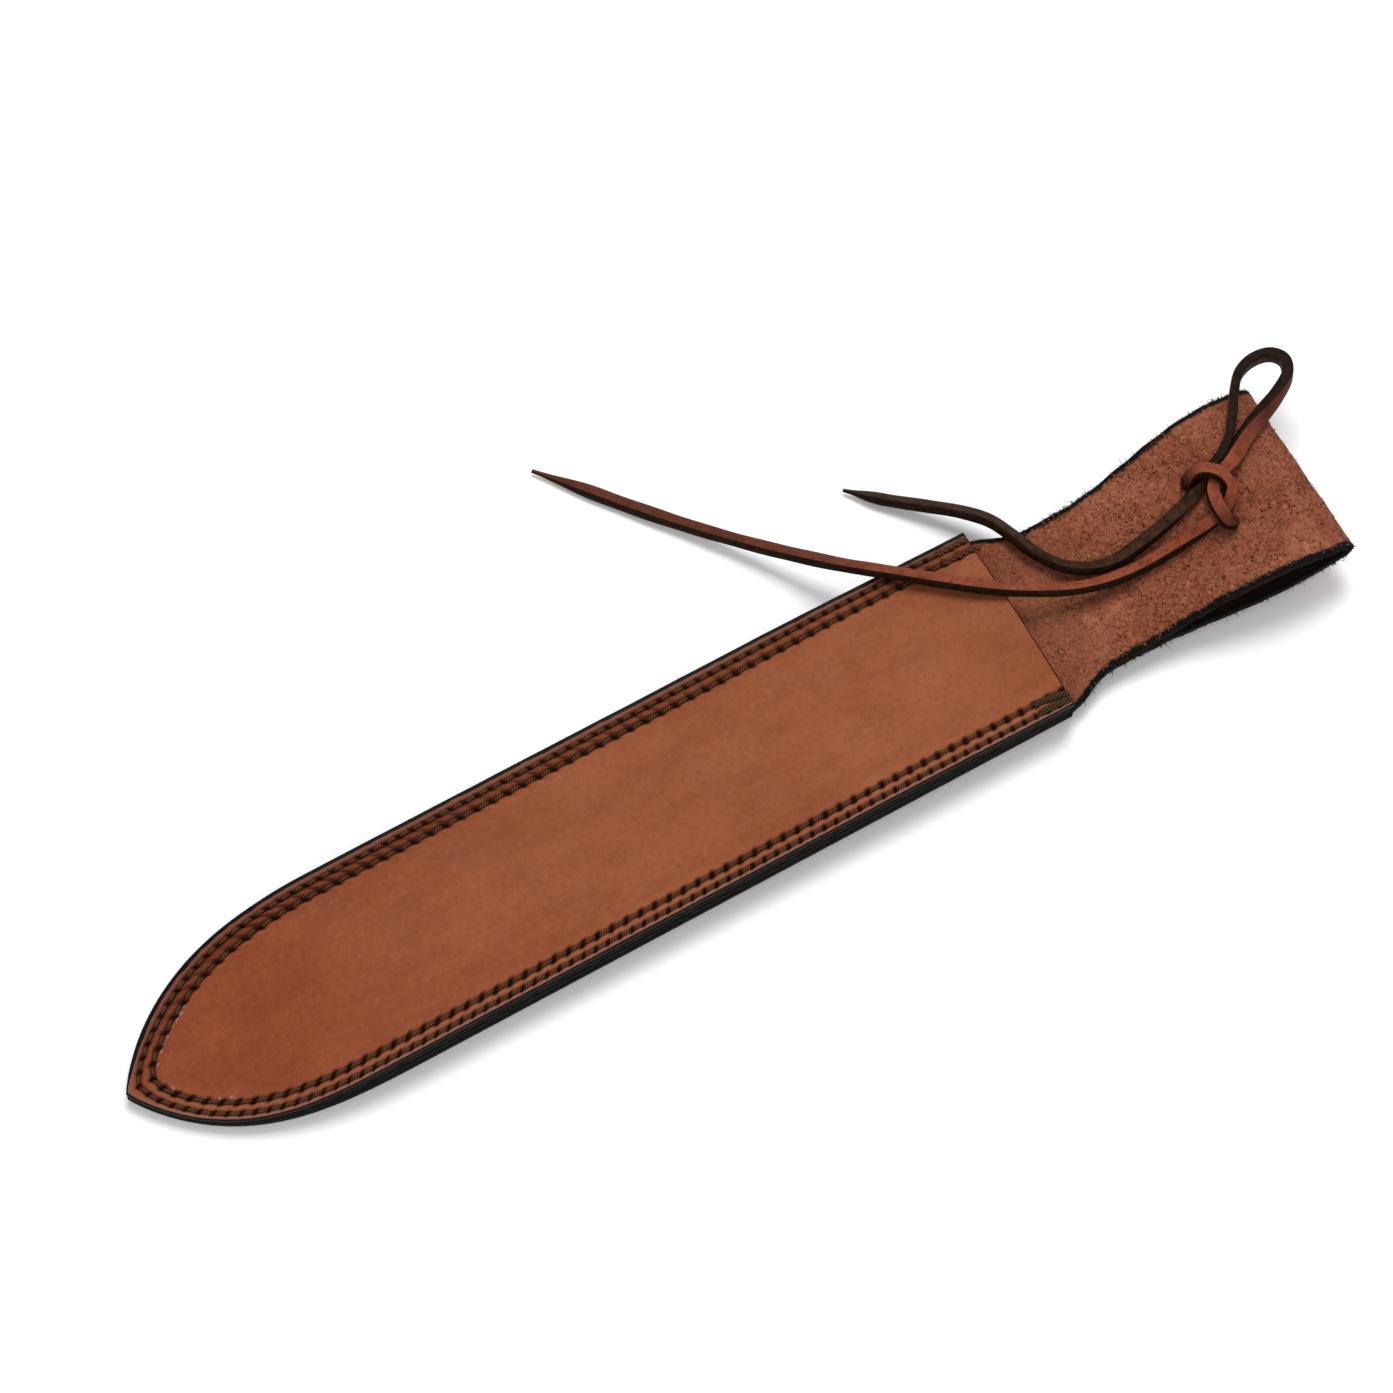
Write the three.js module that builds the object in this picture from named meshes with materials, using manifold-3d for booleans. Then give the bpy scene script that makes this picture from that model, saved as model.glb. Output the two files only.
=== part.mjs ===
// A sewn leather belt sheath for a wide digging knife, lying on its back, in millimetres with +Z up.
// +Y runs from the pointed tip to the fold of the belt loop. Heights are above the surface it lies on.
import * as THREE from "three";
import { mergeVertices } from "three/addons/utils/BufferGeometryUtils.js";
import Module from "manifold-3d";

const wasm = await Module();
wasm.setup();

// Leather and the play left between pieces that lie on each other
const LEATHER = 3;
const PLAY = 0.3;

// Sheath body
const BODY_LENGTH = 315;
const HALF_WIDTH = 34.1;
const TIP_LENGTH = 92;
const TIP_BLUNT = 0.4;
const TIP_BOW = 3.6;
const TIP_EASE = 0.9;
const TIP_SHARE = 1.15;
const CROWN = 1.2;
const CROWN_INSET = 8;

// Welt: two plies that fill the edge, skived thin towards the tip
const WELT_START = 14;
const WELT_FULL = 80;
const WELT_SPACE_TIP = 0.3;
const WELT_SPACE_FULL = 7.1;
const WELT_SPACE_MOUTH = 5.4;
const WELT_FALL = 240;
const WELT_WIDTH = 9.5;
const WELT_THINNEST = 0.15;

// Belt loop: the back panel runs past the mouth, folds, and comes back under the body
const FLAP_END = 250;
const FOLD_REACH = 420;
const FOLD_SPREAD_END = 414;
const SHOULDER_START = 312;
const SHOULDER_END = 335;
const WAIST_END = 350;
const FLAP_SPREAD_START = 330;
const WAIST_HALF_WIDTH = 27.2;
const FOLD_HALF_WIDTH = 32;
const FLAP_HALF_WIDTH = 25.5;
const FLAP_CORNER = { inset: 4, length: 8 };
// The loop's mid line as [y, z]
const LOOP_ROUTE = [
  [315, 5.66], [325, 6.2], [336, 7.9], [350, 10.1], [362, 13.3], [372, 17.2], [383, 21], [395, 22.9],
  [406, 21.8], [414, 19.3], [417.6, 17.4], [418.5, 15.6], [417.4, 13.8], [412, 12.1], [403, 10.3],
  [391, 8.5], [377, 7], [362, 5.8], [348, 4], [336, 2.3], [325, 1.6], [315, 1.5],
];
const FOLD_POINT = LOOP_ROUTE.reduce((best, [y], i) => (y > LOOP_ROUTE[best][0] ? i : best), 0);
// Where the flap has rows of points after the loop, closer together at its rounded end
const FLAP_ROWS = [300, 280, 262, 256, 252, FLAP_END];

// Seams: two rows round the body, one row that holds the flap
const THREAD = 0.9;
const GROOVE_WIDTH = THREAD + 2 * PLAY;
const THREAD_SINK = 0.1;
const OUTER_ROW = 3;
const INNER_ROW = 6.6;
const ROW_END = 303.5;
const FLAP_ROW = { halfWidth: 20.5, near: 257, far: 309, corner: 4 };
const TACK = { length: 10.2, width: 5, height: 1.3, y: 309.3, lift: 0.4 };

// Thong: one lace, threaded down through one hole and up through the other
const THONG = 3.3;
const THONG_SIDES = 8;
const HOLE = { diameter: 6, sides: 16, depth: 10 };
const HOLES = [[7.6, 388.2, 21.8], [-10.2, 383.7, 21]];

// How finely the leather and its seams are faceted, with the stations closer together at the tip
const STATIONS = 24;
const STATION_POWER = 1.7;
const LOOP_STEPS = 2 * (LOOP_ROUTE.length - 1);
const REAR_SLOPE = (LEATHER + PLAY) / FLAP_END;

const smooth = (x, from, to) => THREE.MathUtils.smoothstep(x, from, to);
const baseHeight = (y) => REAR_SLOPE * y;

// Half width of the body's outline, or of the line that lies `inset` inside it.
function outline(y, inset = 0) {
  const start = TIP_SHARE * inset;
  const share = THREE.MathUtils.clamp((y - start) / (TIP_LENGTH - start), 0, 1);
  return (HALF_WIDTH - inset) * (1 - (1 - share) ** TIP_BOW) ** TIP_EASE;
}

// Clear height between the two panels along the edge.
function weltSpace(y) {
  const rise = (WELT_SPACE_FULL - WELT_SPACE_TIP) * smooth(y, WELT_START, WELT_FULL);
  const fall = (WELT_SPACE_FULL - WELT_SPACE_MOUTH) * smooth(y, WELT_FALL, BODY_LENGTH);
  return WELT_SPACE_TIP + rise - fall;
}

// Swell of the front panel inside the stitching.
function crown(x, y) {
  const inner = outline(y, CROWN_INSET);
  if (Math.abs(x) >= inner) return 0;
  return CROWN * smooth(y, WELT_START, WELT_FULL) * (1 - (x / inner) ** 2);
}

const frontUnderside = (x, y) => baseHeight(y) + LEATHER + weltSpace(y) + crown(x, y);

// Distances from the tip, close together where the outline is strongly curved.
function stations(from, to, count) {
  const steps = [...Array(count + 1).keys()];
  return steps.map((i) => from + (to - from) * (i / count) ** STATION_POWER);
}

function closed(geometry) {
  geometry.deleteAttribute("normal");
  geometry.deleteAttribute("uv");
  return mergeVertices(geometry, 1e-4);
}

// A sheet with flat ends: place(u, row, t) gives each point, with u from -1 to 1 across,
// the row number along, and t 0 below and 1 above.
function sheet(columns, rows, place) {
  const geometry = new THREE.BoxGeometry(2, rows, 1, columns, rows, 1);
  const position = geometry.attributes.position;
  for (let i = 0; i < position.count; i++) {
    const row = Math.round(position.getY(i) + rows / 2);
    const point = place(position.getX(i), row, position.getZ(i) + 0.5);
    position.setXYZ(i, ...point);
  }
  return closed(geometry);
}

// A smooth line whose steps fall evenly between its own points, so they close up where it bends.
class Route extends THREE.CatmullRomCurve3 {
  getSpacedPoints(count) {
    return this.getPoints(count);
  }

  getTangentAt(u, target) {
    return this.getTangent(u, target);
  }
}

function sweep(points, section, stepsPerPoint = 1) {
  const route = new Route(points.map((p) => new THREE.Vector3(...p)));
  const steps = (points.length - 1) * stepsPerPoint;
  return closed(new THREE.ExtrudeGeometry(section, { steps, bevelEnabled: false, extrudePath: route }));
}

function roundSection(diameter, sides) {
  const turn = (2 * Math.PI) / sides;
  const corners = [...Array(sides).keys()].map((i) => [Math.cos(i * turn), Math.sin(i * turn)]);
  return new THREE.Shape(corners.map(([x, y]) => new THREE.Vector2(x, y).multiplyScalar(diameter / 2)));
}

// The groove's section stands across the leather, from `above` to `below` its thread's middle.
function grooveSection(above, below) {
  const half = GROOVE_WIDTH / 2;
  return new THREE.Shape([[-above, -half], [below, -half], [below, half], [-above, half]]
    .map(([x, y]) => new THREE.Vector2(x, y)));
}

function toSolid(geometry) {
  const merged = closed(geometry.clone());
  return new wasm.Manifold(new wasm.Mesh({
    numProp: 3,
    vertProperties: new Float32Array(merged.attributes.position.array),
    triVerts: new Uint32Array(merged.index.array),
  }));
}

function cut(geometry, tools) {
  const whole = tools.reduce((solid, tool) => solid.subtract(toSolid(tool)), toSolid(geometry));
  const mesh = whole.getMesh();
  const result = new THREE.BufferGeometry();
  result.setAttribute("position", new THREE.BufferAttribute(mesh.vertProperties, 3));
  result.setIndex(new THREE.BufferAttribute(mesh.triVerts, 1));
  return result;
}

// Points of a row of stitches round the body, from the left of the mouth round the tip to the right.
function bodyRow(inset, height) {
  const along = stations(TIP_SHARE * inset, ROW_END, STATIONS);
  const side = (sign) => along.map((y) => {
    const x = sign * outline(y, inset);
    return [x, y, height(x, y)];
  });
  return [...side(-1).reverse(), ...side(1).slice(1)];
}

// Points of the row that holds the flap: along one side, across its end, and back.
function flapRow(height) {
  const { halfWidth, near, far, corner } = FLAP_ROW;
  const turn = [0, 1, 2].map((i) => {
    const angle = (i * Math.PI) / 4;
    return [halfWidth - corner * (1 - Math.sin(angle)), near + corner * (1 - Math.cos(angle))];
  });
  const half = [[0, near], ...turn, [halfWidth, (near + far) / 2], [halfWidth, far]];
  const plan = [...half.map(([x, y]) => [-x, y]).reverse(), ...half.slice(1)];
  return plan.map(([x, y]) => [x, y, height(x, y)]);
}

function frontPanel() {
  const along = stations(0, BODY_LENGTH, STATIONS);
  return sheet(8, STATIONS, (u, row, t) => {
    const y = along[row];
    const x = u * Math.max(outline(y), TIP_BLUNT);
    return [x, y, frontUnderside(x, y) + t * LEATHER];
  });
}

// Half width of the strap on its way out to the fold, or of the flap that returns from it.
function strapHalfWidth(y, returning) {
  if (returning) {
    const spread = smooth(y, FLAP_SPREAD_START, FOLD_SPREAD_END);
    const corner = FLAP_CORNER.inset * (1 - smooth(y, FLAP_END, FLAP_END + FLAP_CORNER.length)) ** 2;
    return THREE.MathUtils.lerp(FLAP_HALF_WIDTH, FOLD_HALF_WIDTH, spread) - corner;
  }
  const shoulder = smooth(y, SHOULDER_START, SHOULDER_END);
  const spread = smooth(y, WAIST_END, FOLD_SPREAD_END);
  return THREE.MathUtils.lerp(HALF_WIDTH, WAIST_HALF_WIDTH, shoulder)
    + (FOLD_HALF_WIDTH - WAIST_HALF_WIDTH) * spread;
}

// Rows of the back panel along its mid line, each with its place, its tangent in y and z, and half width.
function backRows() {
  const body = stations(0, SHOULDER_START - 2, STATIONS).map((y) => ({
    y, z: baseHeight(y) + LEATHER / 2, along: [1, REAR_SLOPE], half: Math.max(outline(y), TIP_BLUNT),
  }));
  const loop = new THREE.CatmullRomCurve3(LOOP_ROUTE.map(([y, z]) => new THREE.Vector3(0, y, z)));
  const strap = [...Array(LOOP_STEPS + 1).keys()].map((i) => {
    const { y, z } = loop.getPoint(i / LOOP_STEPS);
    const tangent = loop.getTangent(i / LOOP_STEPS);
    const half = strapHalfWidth(y, i / 2 > FOLD_POINT);
    return { y, z, along: [tangent.y, tangent.z], half };
  });
  const flap = FLAP_ROWS.map((y) => ({
    y, z: LEATHER / 2, along: [-1, 0], half: strapHalfWidth(y, true),
  }));
  return [...body, ...strap, ...flap];
}

function backPanel() {
  const rows = backRows();
  const whole = sheet(6, rows.length - 1, (u, row, t) => {
    const { y, z, along, half } = rows[row];
    const offset = ((t - 0.5) * LEATHER) / Math.hypot(...along);
    return [u * half, y - along[1] * offset, z + along[0] * offset];
  });
  const rearGrooves = [OUTER_ROW, INNER_ROW].map((inset) => groove(bodyRow(inset, bobbinHeight), 1));
  const pocketGroove = groove(flapRow(pocketThreadHeight), -1);
  const flapGroove = groove(flapRow(flapThreadHeight), 1);
  return cut(whole, [...rearGrooves, pocketGroove, flapGroove, ...HOLES.map(thongHole)]);
}

function thongHole([x, y, z]) {
  const radius = HOLE.diameter / 2;
  const cutter = new THREE.CylinderGeometry(radius, radius, HOLE.depth, HOLE.sides);
  return cutter.rotateX(Math.PI / 2).translate(x, y, z);
}

// A groove that is open downwards (side 1) or upwards (side -1) round a thread's route.
function groove(points, side) {
  const deep = THREAD / 2 + PLAY;
  const open = 2 * THREAD;
  return sweep(points, side > 0 ? grooveSection(deep, open) : grooveSection(open, deep));
}

const threadInset = THREAD / 2 + THREAD_SINK;
const needleHeight = (x, y) => frontUnderside(x, y) + LEATHER + PLAY + THREAD / 2;
const bobbinHeight = (x, y) => baseHeight(y) + threadInset;
const pocketThreadHeight = (x, y) => baseHeight(y) + LEATHER - threadInset;
const flapThreadHeight = () => threadInset;

// One ply of the welt on one side: side is -1 or 1, ply 0 is the lower and 1 the upper.
function weltPly(side, ply) {
  const along = stations(WELT_START, BODY_LENGTH - 1, STATIONS);
  return sheet(1, STATIONS, (u, row, t) => {
    const y = along[row];
    const outer = outline(y);
    const inner = Math.max(outline(y, WELT_WIDTH), PLAY);
    const middle = (outer + inner) / 2;
    const x = side * middle + (u * (outer - inner)) / 2;
    const thick = Math.max((weltSpace(y) - 3 * PLAY) / 2, WELT_THINNEST);
    const gap = (weltSpace(y) - 2 * thick) / 3;
    return [x, y, baseHeight(y) + LEATHER + gap + ply * (thick + gap) + t * thick];
  });
}

function thread(points) {
  return sweep(points, roundSection(THREAD, 6));
}

// The bar of doubled stitches that locks both rows beside the mouth.
function mouthTack(side) {
  const { length, width, height, y, lift } = TACK;
  const shape = new THREE.Shape();
  const straight = length / 2 - width / 2;
  shape.absarc(0, straight, width / 2, 0, Math.PI);
  shape.absarc(0, -straight, width / 2, Math.PI, 2 * Math.PI);
  const x = side * (HALF_WIDTH - (OUTER_ROW + INNER_ROW) / 2);
  const bar = new THREE.ExtrudeGeometry(shape, { depth: height, bevelEnabled: false, curveSegments: 5 });
  return closed(bar.rotateX(REAR_SLOPE).translate(x, y, frontUnderside(x, y) + LEATHER + lift));
}

// The lace from behind the strap up through the right hole, over the long tail, round its loop and out
// to the tip of the short tail.
const THONG_LOOP_ROUTE = [
  [-0.9, 386.8, 18], [3.4, 388, 18.2], [6.6, 388.5, 19.8], [7.6, 388.3, 23.4], [8.9, 386.7, 26.5],
  [8.5, 385.5, 28.6], [5.6, 385.1, 29.5], [0.9, 385.8, 28.9], [-3, 387.4, 28.1], [-5.6, 390.1, 27.9],
  [-7, 393.4, 28.2], [-8.5, 397.2, 27.8], [-10.9, 401.2, 26.8], [-14.6, 406.7, 25.6],
  [-19.9, 416.7, 22.3], [-23.9, 425.5, 22], [-28.6, 432.3, 21.6], [-33.4, 434, 21.5],
  [-37.2, 431.3, 21.5], [-38.4, 425.4, 21.6], [-36.4, 418.8, 22], [-30, 412.6, 23.6],
  [-23.1, 407.4, 25.3], [-16.9, 402.2, 26], [-12.2, 396.2, 26.3], [-9.6, 390.4, 25.9],
  [-6.8, 385.1, 25], [-5, 379.9, 23.5], [-2.9, 370.4, 20.6], [-1.8, 360.4, 17.2], [-1.7, 352.4, 14.6],
  [-3.7, 344.5, 13.4], [-8.9, 337.4, 12.6], [-17.3, 332.1, 12], [-26.7, 329, 11.2], [-35.1, 325.9, 9.9],
  [-42.9, 320.3, 8], [-51.4, 312.1, 5.4], [-60.8, 302.4, 3], [-70.8, 292.7, 1.9],
];

// The lace from the same place up through the left hole, over both legs of the loop, under the other
// end and out to the tip of the long tail.
const THONG_TAIL_ROUTE = [
  [-1.5, 386.7, 18], [-5.6, 385.4, 17.8], [-9.4, 384.1, 18.6], [-10.4, 383.7, 22.2], [-10.3, 383.2, 26],
  [-10.4, 384.5, 28.4], [-9.9, 386.4, 30.4], [-8.3, 388.6, 31.5], [-6, 390.6, 31.7], [-3.5, 392, 30.6],
  [-1, 392.5, 28.7], [1.3, 391.3, 27.1], [3, 389.2, 25.8], [4.2, 386.1, 25], [5.1, 381, 23.9],
  [5.3, 374.5, 21.7], [5.1, 365.7, 18.7], [4.6, 356.6, 16.1], [3.4, 345.9, 15.6], [1, 336.3, 16],
  [-2.9, 326.7, 17.2], [-7.8, 317.1, 18.7], [-14.2, 307.6, 19.4], [-21.7, 298.1, 19.6],
  [-28.4, 290.1, 19.5], [-34.8, 282.9, 18.6], [-43.2, 275.1, 15.4], [-53.7, 266.7, 11],
  [-66.4, 256.4, 7], [-82.4, 243.5, 3.8], [-98.7, 230.5, 2.3], [-113, 219.4, 1.9], [-126.1, 208.9, 1.8],
];

function thong(route) {
  return sweep(route, roundSection(THONG, THONG_SIDES), 2);
}

const COLOURS = {
  grain: 0x955537, suede: 0x854c38, edge: 0x17120f, thread: 0x4a2b1c, tack: 0x3a2e1c, lace: 0x5c3020,
};

function material(colour, roughness) {
  return new THREE.MeshStandardMaterial({ color: COLOURS[colour], roughness, metalness: 0 });
}

const grain = material("grain", 0.55);
const suede = material("suede", 0.95);
const edge = material("edge", 0.45);
const waxed = material("thread", 0.6);
const tackThread = material("tack", 0.6);
const lace = material("lace", 0.6);

const sheath = new THREE.Group();
sheath.position.set(0, -FOLD_REACH / 2, 0);

function add(name, geometry, skin) {
  geometry.computeVertexNormals();
  const mesh = new THREE.Mesh(geometry, skin);
  mesh.name = name;
  sheath.add(mesh);
}

add("front_panel", frontPanel(), grain);
add("back_panel_and_belt_loop", backPanel(), suede);
for (const [sideName, side] of [["left", -1], ["right", 1]]) {
  add(`welt_lower_ply_${sideName}`, weltPly(side, 0), edge);
  add(`welt_upper_ply_${sideName}`, weltPly(side, 1), edge);
  add(`mouth_tack_${sideName}`, mouthTack(side), tackThread);
}
add("outer_seam_needle_thread", thread(bodyRow(OUTER_ROW, needleHeight)), waxed);
add("outer_seam_bobbin_thread", thread(bodyRow(OUTER_ROW, bobbinHeight)), waxed);
add("inner_seam_needle_thread", thread(bodyRow(INNER_ROW, needleHeight)), waxed);
add("inner_seam_bobbin_thread", thread(bodyRow(INNER_ROW, bobbinHeight)), waxed);
add("flap_seam_needle_thread", thread(flapRow(flapThreadHeight)), waxed);
add("flap_seam_bobbin_thread", thread(flapRow(pocketThreadHeight)), waxed);
add("thong_loop_and_short_tail", thong(THONG_LOOP_ROUTE), lace);
add("thong_knot_and_long_tail", thong(THONG_TAIL_ROUTE), lace);

export default sheath;
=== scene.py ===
"""A leather belt sheath with its thong: detailed leather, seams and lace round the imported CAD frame.

Shapes are worked out in millimetres, with y measured from the sheath's tip, and turned into the row
frame's metres when a mesh is made.
"""
import math

import bmesh
import bpy
import numpy as np
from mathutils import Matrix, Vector


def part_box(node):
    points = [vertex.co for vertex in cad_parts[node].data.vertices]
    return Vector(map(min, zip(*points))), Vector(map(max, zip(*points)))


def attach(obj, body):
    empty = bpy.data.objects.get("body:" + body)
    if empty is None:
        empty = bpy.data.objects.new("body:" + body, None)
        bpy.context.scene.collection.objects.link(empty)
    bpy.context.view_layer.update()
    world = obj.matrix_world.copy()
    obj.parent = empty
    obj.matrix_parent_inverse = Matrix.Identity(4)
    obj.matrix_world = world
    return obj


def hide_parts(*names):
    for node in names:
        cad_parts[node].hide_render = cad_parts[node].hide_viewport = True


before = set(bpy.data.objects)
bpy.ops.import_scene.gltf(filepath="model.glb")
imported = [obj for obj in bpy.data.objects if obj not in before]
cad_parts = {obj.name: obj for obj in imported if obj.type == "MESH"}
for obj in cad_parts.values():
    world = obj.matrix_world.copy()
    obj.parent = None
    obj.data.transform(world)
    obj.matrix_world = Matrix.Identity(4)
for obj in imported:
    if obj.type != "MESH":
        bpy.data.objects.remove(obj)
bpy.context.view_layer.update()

MM = 0.001
front_low, front_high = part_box("front_panel")
TIP_Y = front_low.y / MM
BODY_LENGTH = (front_high.y - front_low.y) / MM
HALF_WIDTH = front_high.x / MM

# The camera's place round the part in degrees, where it looks and how far off it is in metres
AZIMUTH, ELEVATION = 60.57, 66.5
LOOK_AT = (-0.03165, 0.00652, 0)
CAMERA_DISTANCE = 1.467
LENS = 120

# The leather's build, as the CAD has it
LEATHER = 3.0
PLAY = 0.3
TIP_LENGTH = 92
TIP_SHARE = 1.15
CROWN = 1.2
CROWN_INSET = 8
WELT_START, WELT_FULL, WELT_FALL = 14, 80, 240
WELT_SPACE_TIP, WELT_SPACE_FULL, WELT_SPACE_MOUTH = 0.3, 7.1, 5.4
FLAP_END, FOLD_REACH = 250, 420
SHOULDER_START, SHOULDER_END = 312, 335
WAIST_HALF_WIDTH, FOLD_HALF_WIDTH, FLAP_HALF_WIDTH = 27.2, 32, 25.5
REAR_SLOPE = (LEATHER + PLAY) / FLAP_END
# The belt loop's mid line as (y, z)
LOOP_ROUTE = [
    (315, 5.66), (325, 6.2), (336, 7.9), (350, 10.1), (362, 13.3), (372, 17.2), (383, 21), (395, 22.9),
    (406, 21.8), (414, 19.3), (417.6, 17.4), (418.5, 15.6), (417.4, 13.8), (412, 12.1), (403, 10.3),
    (391, 8.5), (377, 7), (362, 5.8), (348, 4), (336, 2.3), (325, 1.6), (315, 1.5),
]

# How wide the margin is, whose points follow the edge, and how many rows of points the leather has
BAND = 9.5
PANEL_ROWS, BACK_ROWS, WELT_ROWS = 950, 480, 420

# Seams: each row's inset from the edge and its stitch length, both as (left, right), how far its thread
# slants between two holes, how far it cuts the corner at the tip, and the size of its holes
OUTER = {"inset": (3.8, 2.0), "pitch": (4.6, 4.2), "slant": 0.14, "corner": 0.9, "hole": 0.95}
INNER = {"inset": (7.7, 5.4), "pitch": (5.5, 5.05), "slant": 0.28, "corner": 1.4, "hole": 1.2}
MOUTH_DRIFT = 0.7
ROW_END = 304
FLAP_ROW = {"half": 20.5, "near": 257, "far": 309, "corner": 4, "pitch": 4.8}
ROW_SINK, HOLE_SINK = 0.36, 0.75
THREAD, THREAD_SIDES = 0.52, 8

# The tacks beside the mouth: the lines of each as (y, inset, height above the leather), and how many
# strands are wound how far from the line. The left one ends in a knot at this (inset, y).
TACK_STRAND, TACK_SIDES, TACK_PITCH, TACK_PLY = 0.5, 9, 4.2, 2.2
RIGHT_TACK = {
    "strands": 3, "spread": 0.62, "lines": [
        [(303.2, 5.5, -1.0), (304.4, 5.5, 0.2), (308, 5.1, 0.5), (311.5, 4.5, 0.5), (314, 4.0, 0.1),
         (314.8, 3.7, -1)],
        [(303.0, 2.3, -1.0), (304.0, 2.3, 0.1), (307, 2.3, 0.4), (311, 2.2, 0.45), (313.7, 2.0, 0.1),
         (314.6, 1.9, -1)],
    ],
}
LEFT_TACK = {
    "strands": 2, "spread": 0.5, "knot": (7.35, 316.0), "lines": [
        [(303.6, 7.0, -1.0), (304.8, 7.0, 0.1), (310, 7.0, 0.35), (314.4, 7.0, 0.35),
         (316.0, 7.2, -0.1), (316.2, 7.4, -1.6)],
        [(303.0, 3.1, -1.0), (304.4, 3.1, 0.1), (310, 3.1, 0.3), (313.8, 3.0, 0.1), (314.6, 3.0, -1.0)],
    ],
}

# The lace's section, the holes it is threaded through, and its routes in row-frame metres
LACE_WIDTH = 4.3
LACE_THICKNESS = 2.9
HOLE_PLACES = [(7.6, 388.2), (-10.2, 383.7)]
LOOP_AND_SHORT_TAIL = [
    (-0.0009, 0.1768, 0.018), (0.0034, 0.178, 0.0182), (0.0066, 0.1785, 0.0198), (0.0076, 0.1783, 0.0234),
    (0.0089, 0.1767, 0.0265), (0.0085, 0.1755, 0.0286), (0.0056, 0.1751, 0.0295), (0.0009, 0.1758, 0.0289),
    (-0.003, 0.1774, 0.0281), (-0.0056, 0.1801, 0.0279), (-0.007, 0.1834, 0.0282),
    (-0.0085, 0.1872, 0.0278), (-0.0109, 0.1912, 0.0268), (-0.0146, 0.1967, 0.0256),
    (-0.0199, 0.2067, 0.0223), (-0.0239, 0.2155, 0.022), (-0.0286, 0.2223, 0.0216),
    (-0.0334, 0.224, 0.0215), (-0.0372, 0.2213, 0.0215), (-0.0384, 0.2154, 0.0216),
    (-0.0364, 0.2088, 0.022), (-0.03, 0.2026, 0.0236), (-0.0231, 0.1974, 0.0253), (-0.0169, 0.1922, 0.026),
    (-0.0122, 0.1862, 0.0263), (-0.0096, 0.1804, 0.0259), (-0.0068, 0.1751, 0.025),
    (-0.005, 0.1699, 0.0235), (-0.0029, 0.1604, 0.0206), (-0.0018, 0.1504, 0.0172),
    (-0.0017, 0.1424, 0.0146), (-0.0037, 0.1345, 0.0134), (-0.0089, 0.1274, 0.0126),
    (-0.0173, 0.1221, 0.012), (-0.0267, 0.119, 0.0112), (-0.0351, 0.1159, 0.0099), (-0.0429, 0.1103, 0.008),
    (-0.0514, 0.1021, 0.0054), (-0.0608, 0.0924, 0.003), (-0.0708, 0.0827, 0.0019),
]
KNOT_AND_LONG_TAIL = [
    (-0.0015, 0.1767, 0.018), (-0.0056, 0.1754, 0.0178), (-0.0094, 0.1741, 0.0186),
    (-0.0104, 0.1737, 0.0222), (-0.0103, 0.1732, 0.026), (-0.0104, 0.1745, 0.0284),
    (-0.0099, 0.1764, 0.0304), (-0.0083, 0.1786, 0.0315), (-0.006, 0.1806, 0.0317),
    (-0.0035, 0.182, 0.0306), (-0.001, 0.1825, 0.0287), (0.0013, 0.1813, 0.0271), (0.003, 0.1792, 0.0258),
    (0.0042, 0.1761, 0.025), (0.0051, 0.171, 0.0239), (0.0053, 0.1645, 0.0217), (0.0051, 0.1557, 0.0187),
    (0.0046, 0.1466, 0.0161), (0.0034, 0.1359, 0.0156), (0.001, 0.1263, 0.016), (-0.0029, 0.1167, 0.0172),
    (-0.0078, 0.1071, 0.0187), (-0.0142, 0.0976, 0.0194), (-0.0217, 0.0881, 0.0196),
    (-0.0284, 0.0801, 0.0195), (-0.0348, 0.0729, 0.0186), (-0.0432, 0.0651, 0.0154),
    (-0.0537, 0.0567, 0.011), (-0.0664, 0.0464, 0.007), (-0.0824, 0.0335, 0.0038),
    (-0.0987, 0.0205, 0.0023), (-0.113, 0.0094, 0.0019), (-0.1261, -0.0011, 0.0018),
]
# The lace's turn about its own line, as (millimetres from its start, degrees); at 0 its grain faces up
LOOP_TURNS = [(0, 0), (20, 0), (34, 5), (50, 32), (66, 60), (84, 88), (135, 92), (150, 125), (166, 190),
              (200, 214), (290, 214)]
KNOT_TURNS = [(0, 0), (10, 0), (18, -10), (34, -15), (46, 0), (60, 22), (90, 30), (130, 26), (290, 24)]

EDGE_FIBRES, NAP_FIBRES = 3600, 7000
RNG = np.random.default_rng(7)


# ---- camera, light and floor ----

def add_camera():
    """The scene's camera, turned towards the part."""
    azimuth, elevation = math.radians(AZIMUTH), math.radians(ELEVATION)
    back = Vector((math.sin(azimuth) * math.cos(elevation), -math.cos(azimuth) * math.cos(elevation),
                   math.sin(elevation)))
    data = bpy.data.cameras.new("camera")
    data.lens = LENS
    camera = bpy.data.objects.new("camera", data)
    camera.location = Vector(LOOK_AT) + back * CAMERA_DISTANCE
    camera.rotation_euler = back.to_track_quat("Z", "Y").to_euler()
    bpy.context.scene.collection.objects.link(camera)
    bpy.context.scene.camera = camera


def add_light(name, place, size, watts):
    """A square lamp that shines at the middle of the scene."""
    data = bpy.data.lights.new(name, "AREA")
    data.size = size
    data.energy = watts
    light = bpy.data.objects.new(name, data)
    light.location = place
    light.rotation_euler = Vector(place).to_track_quat("Z", "Y").to_euler()
    bpy.context.scene.collection.objects.link(light)


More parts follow.
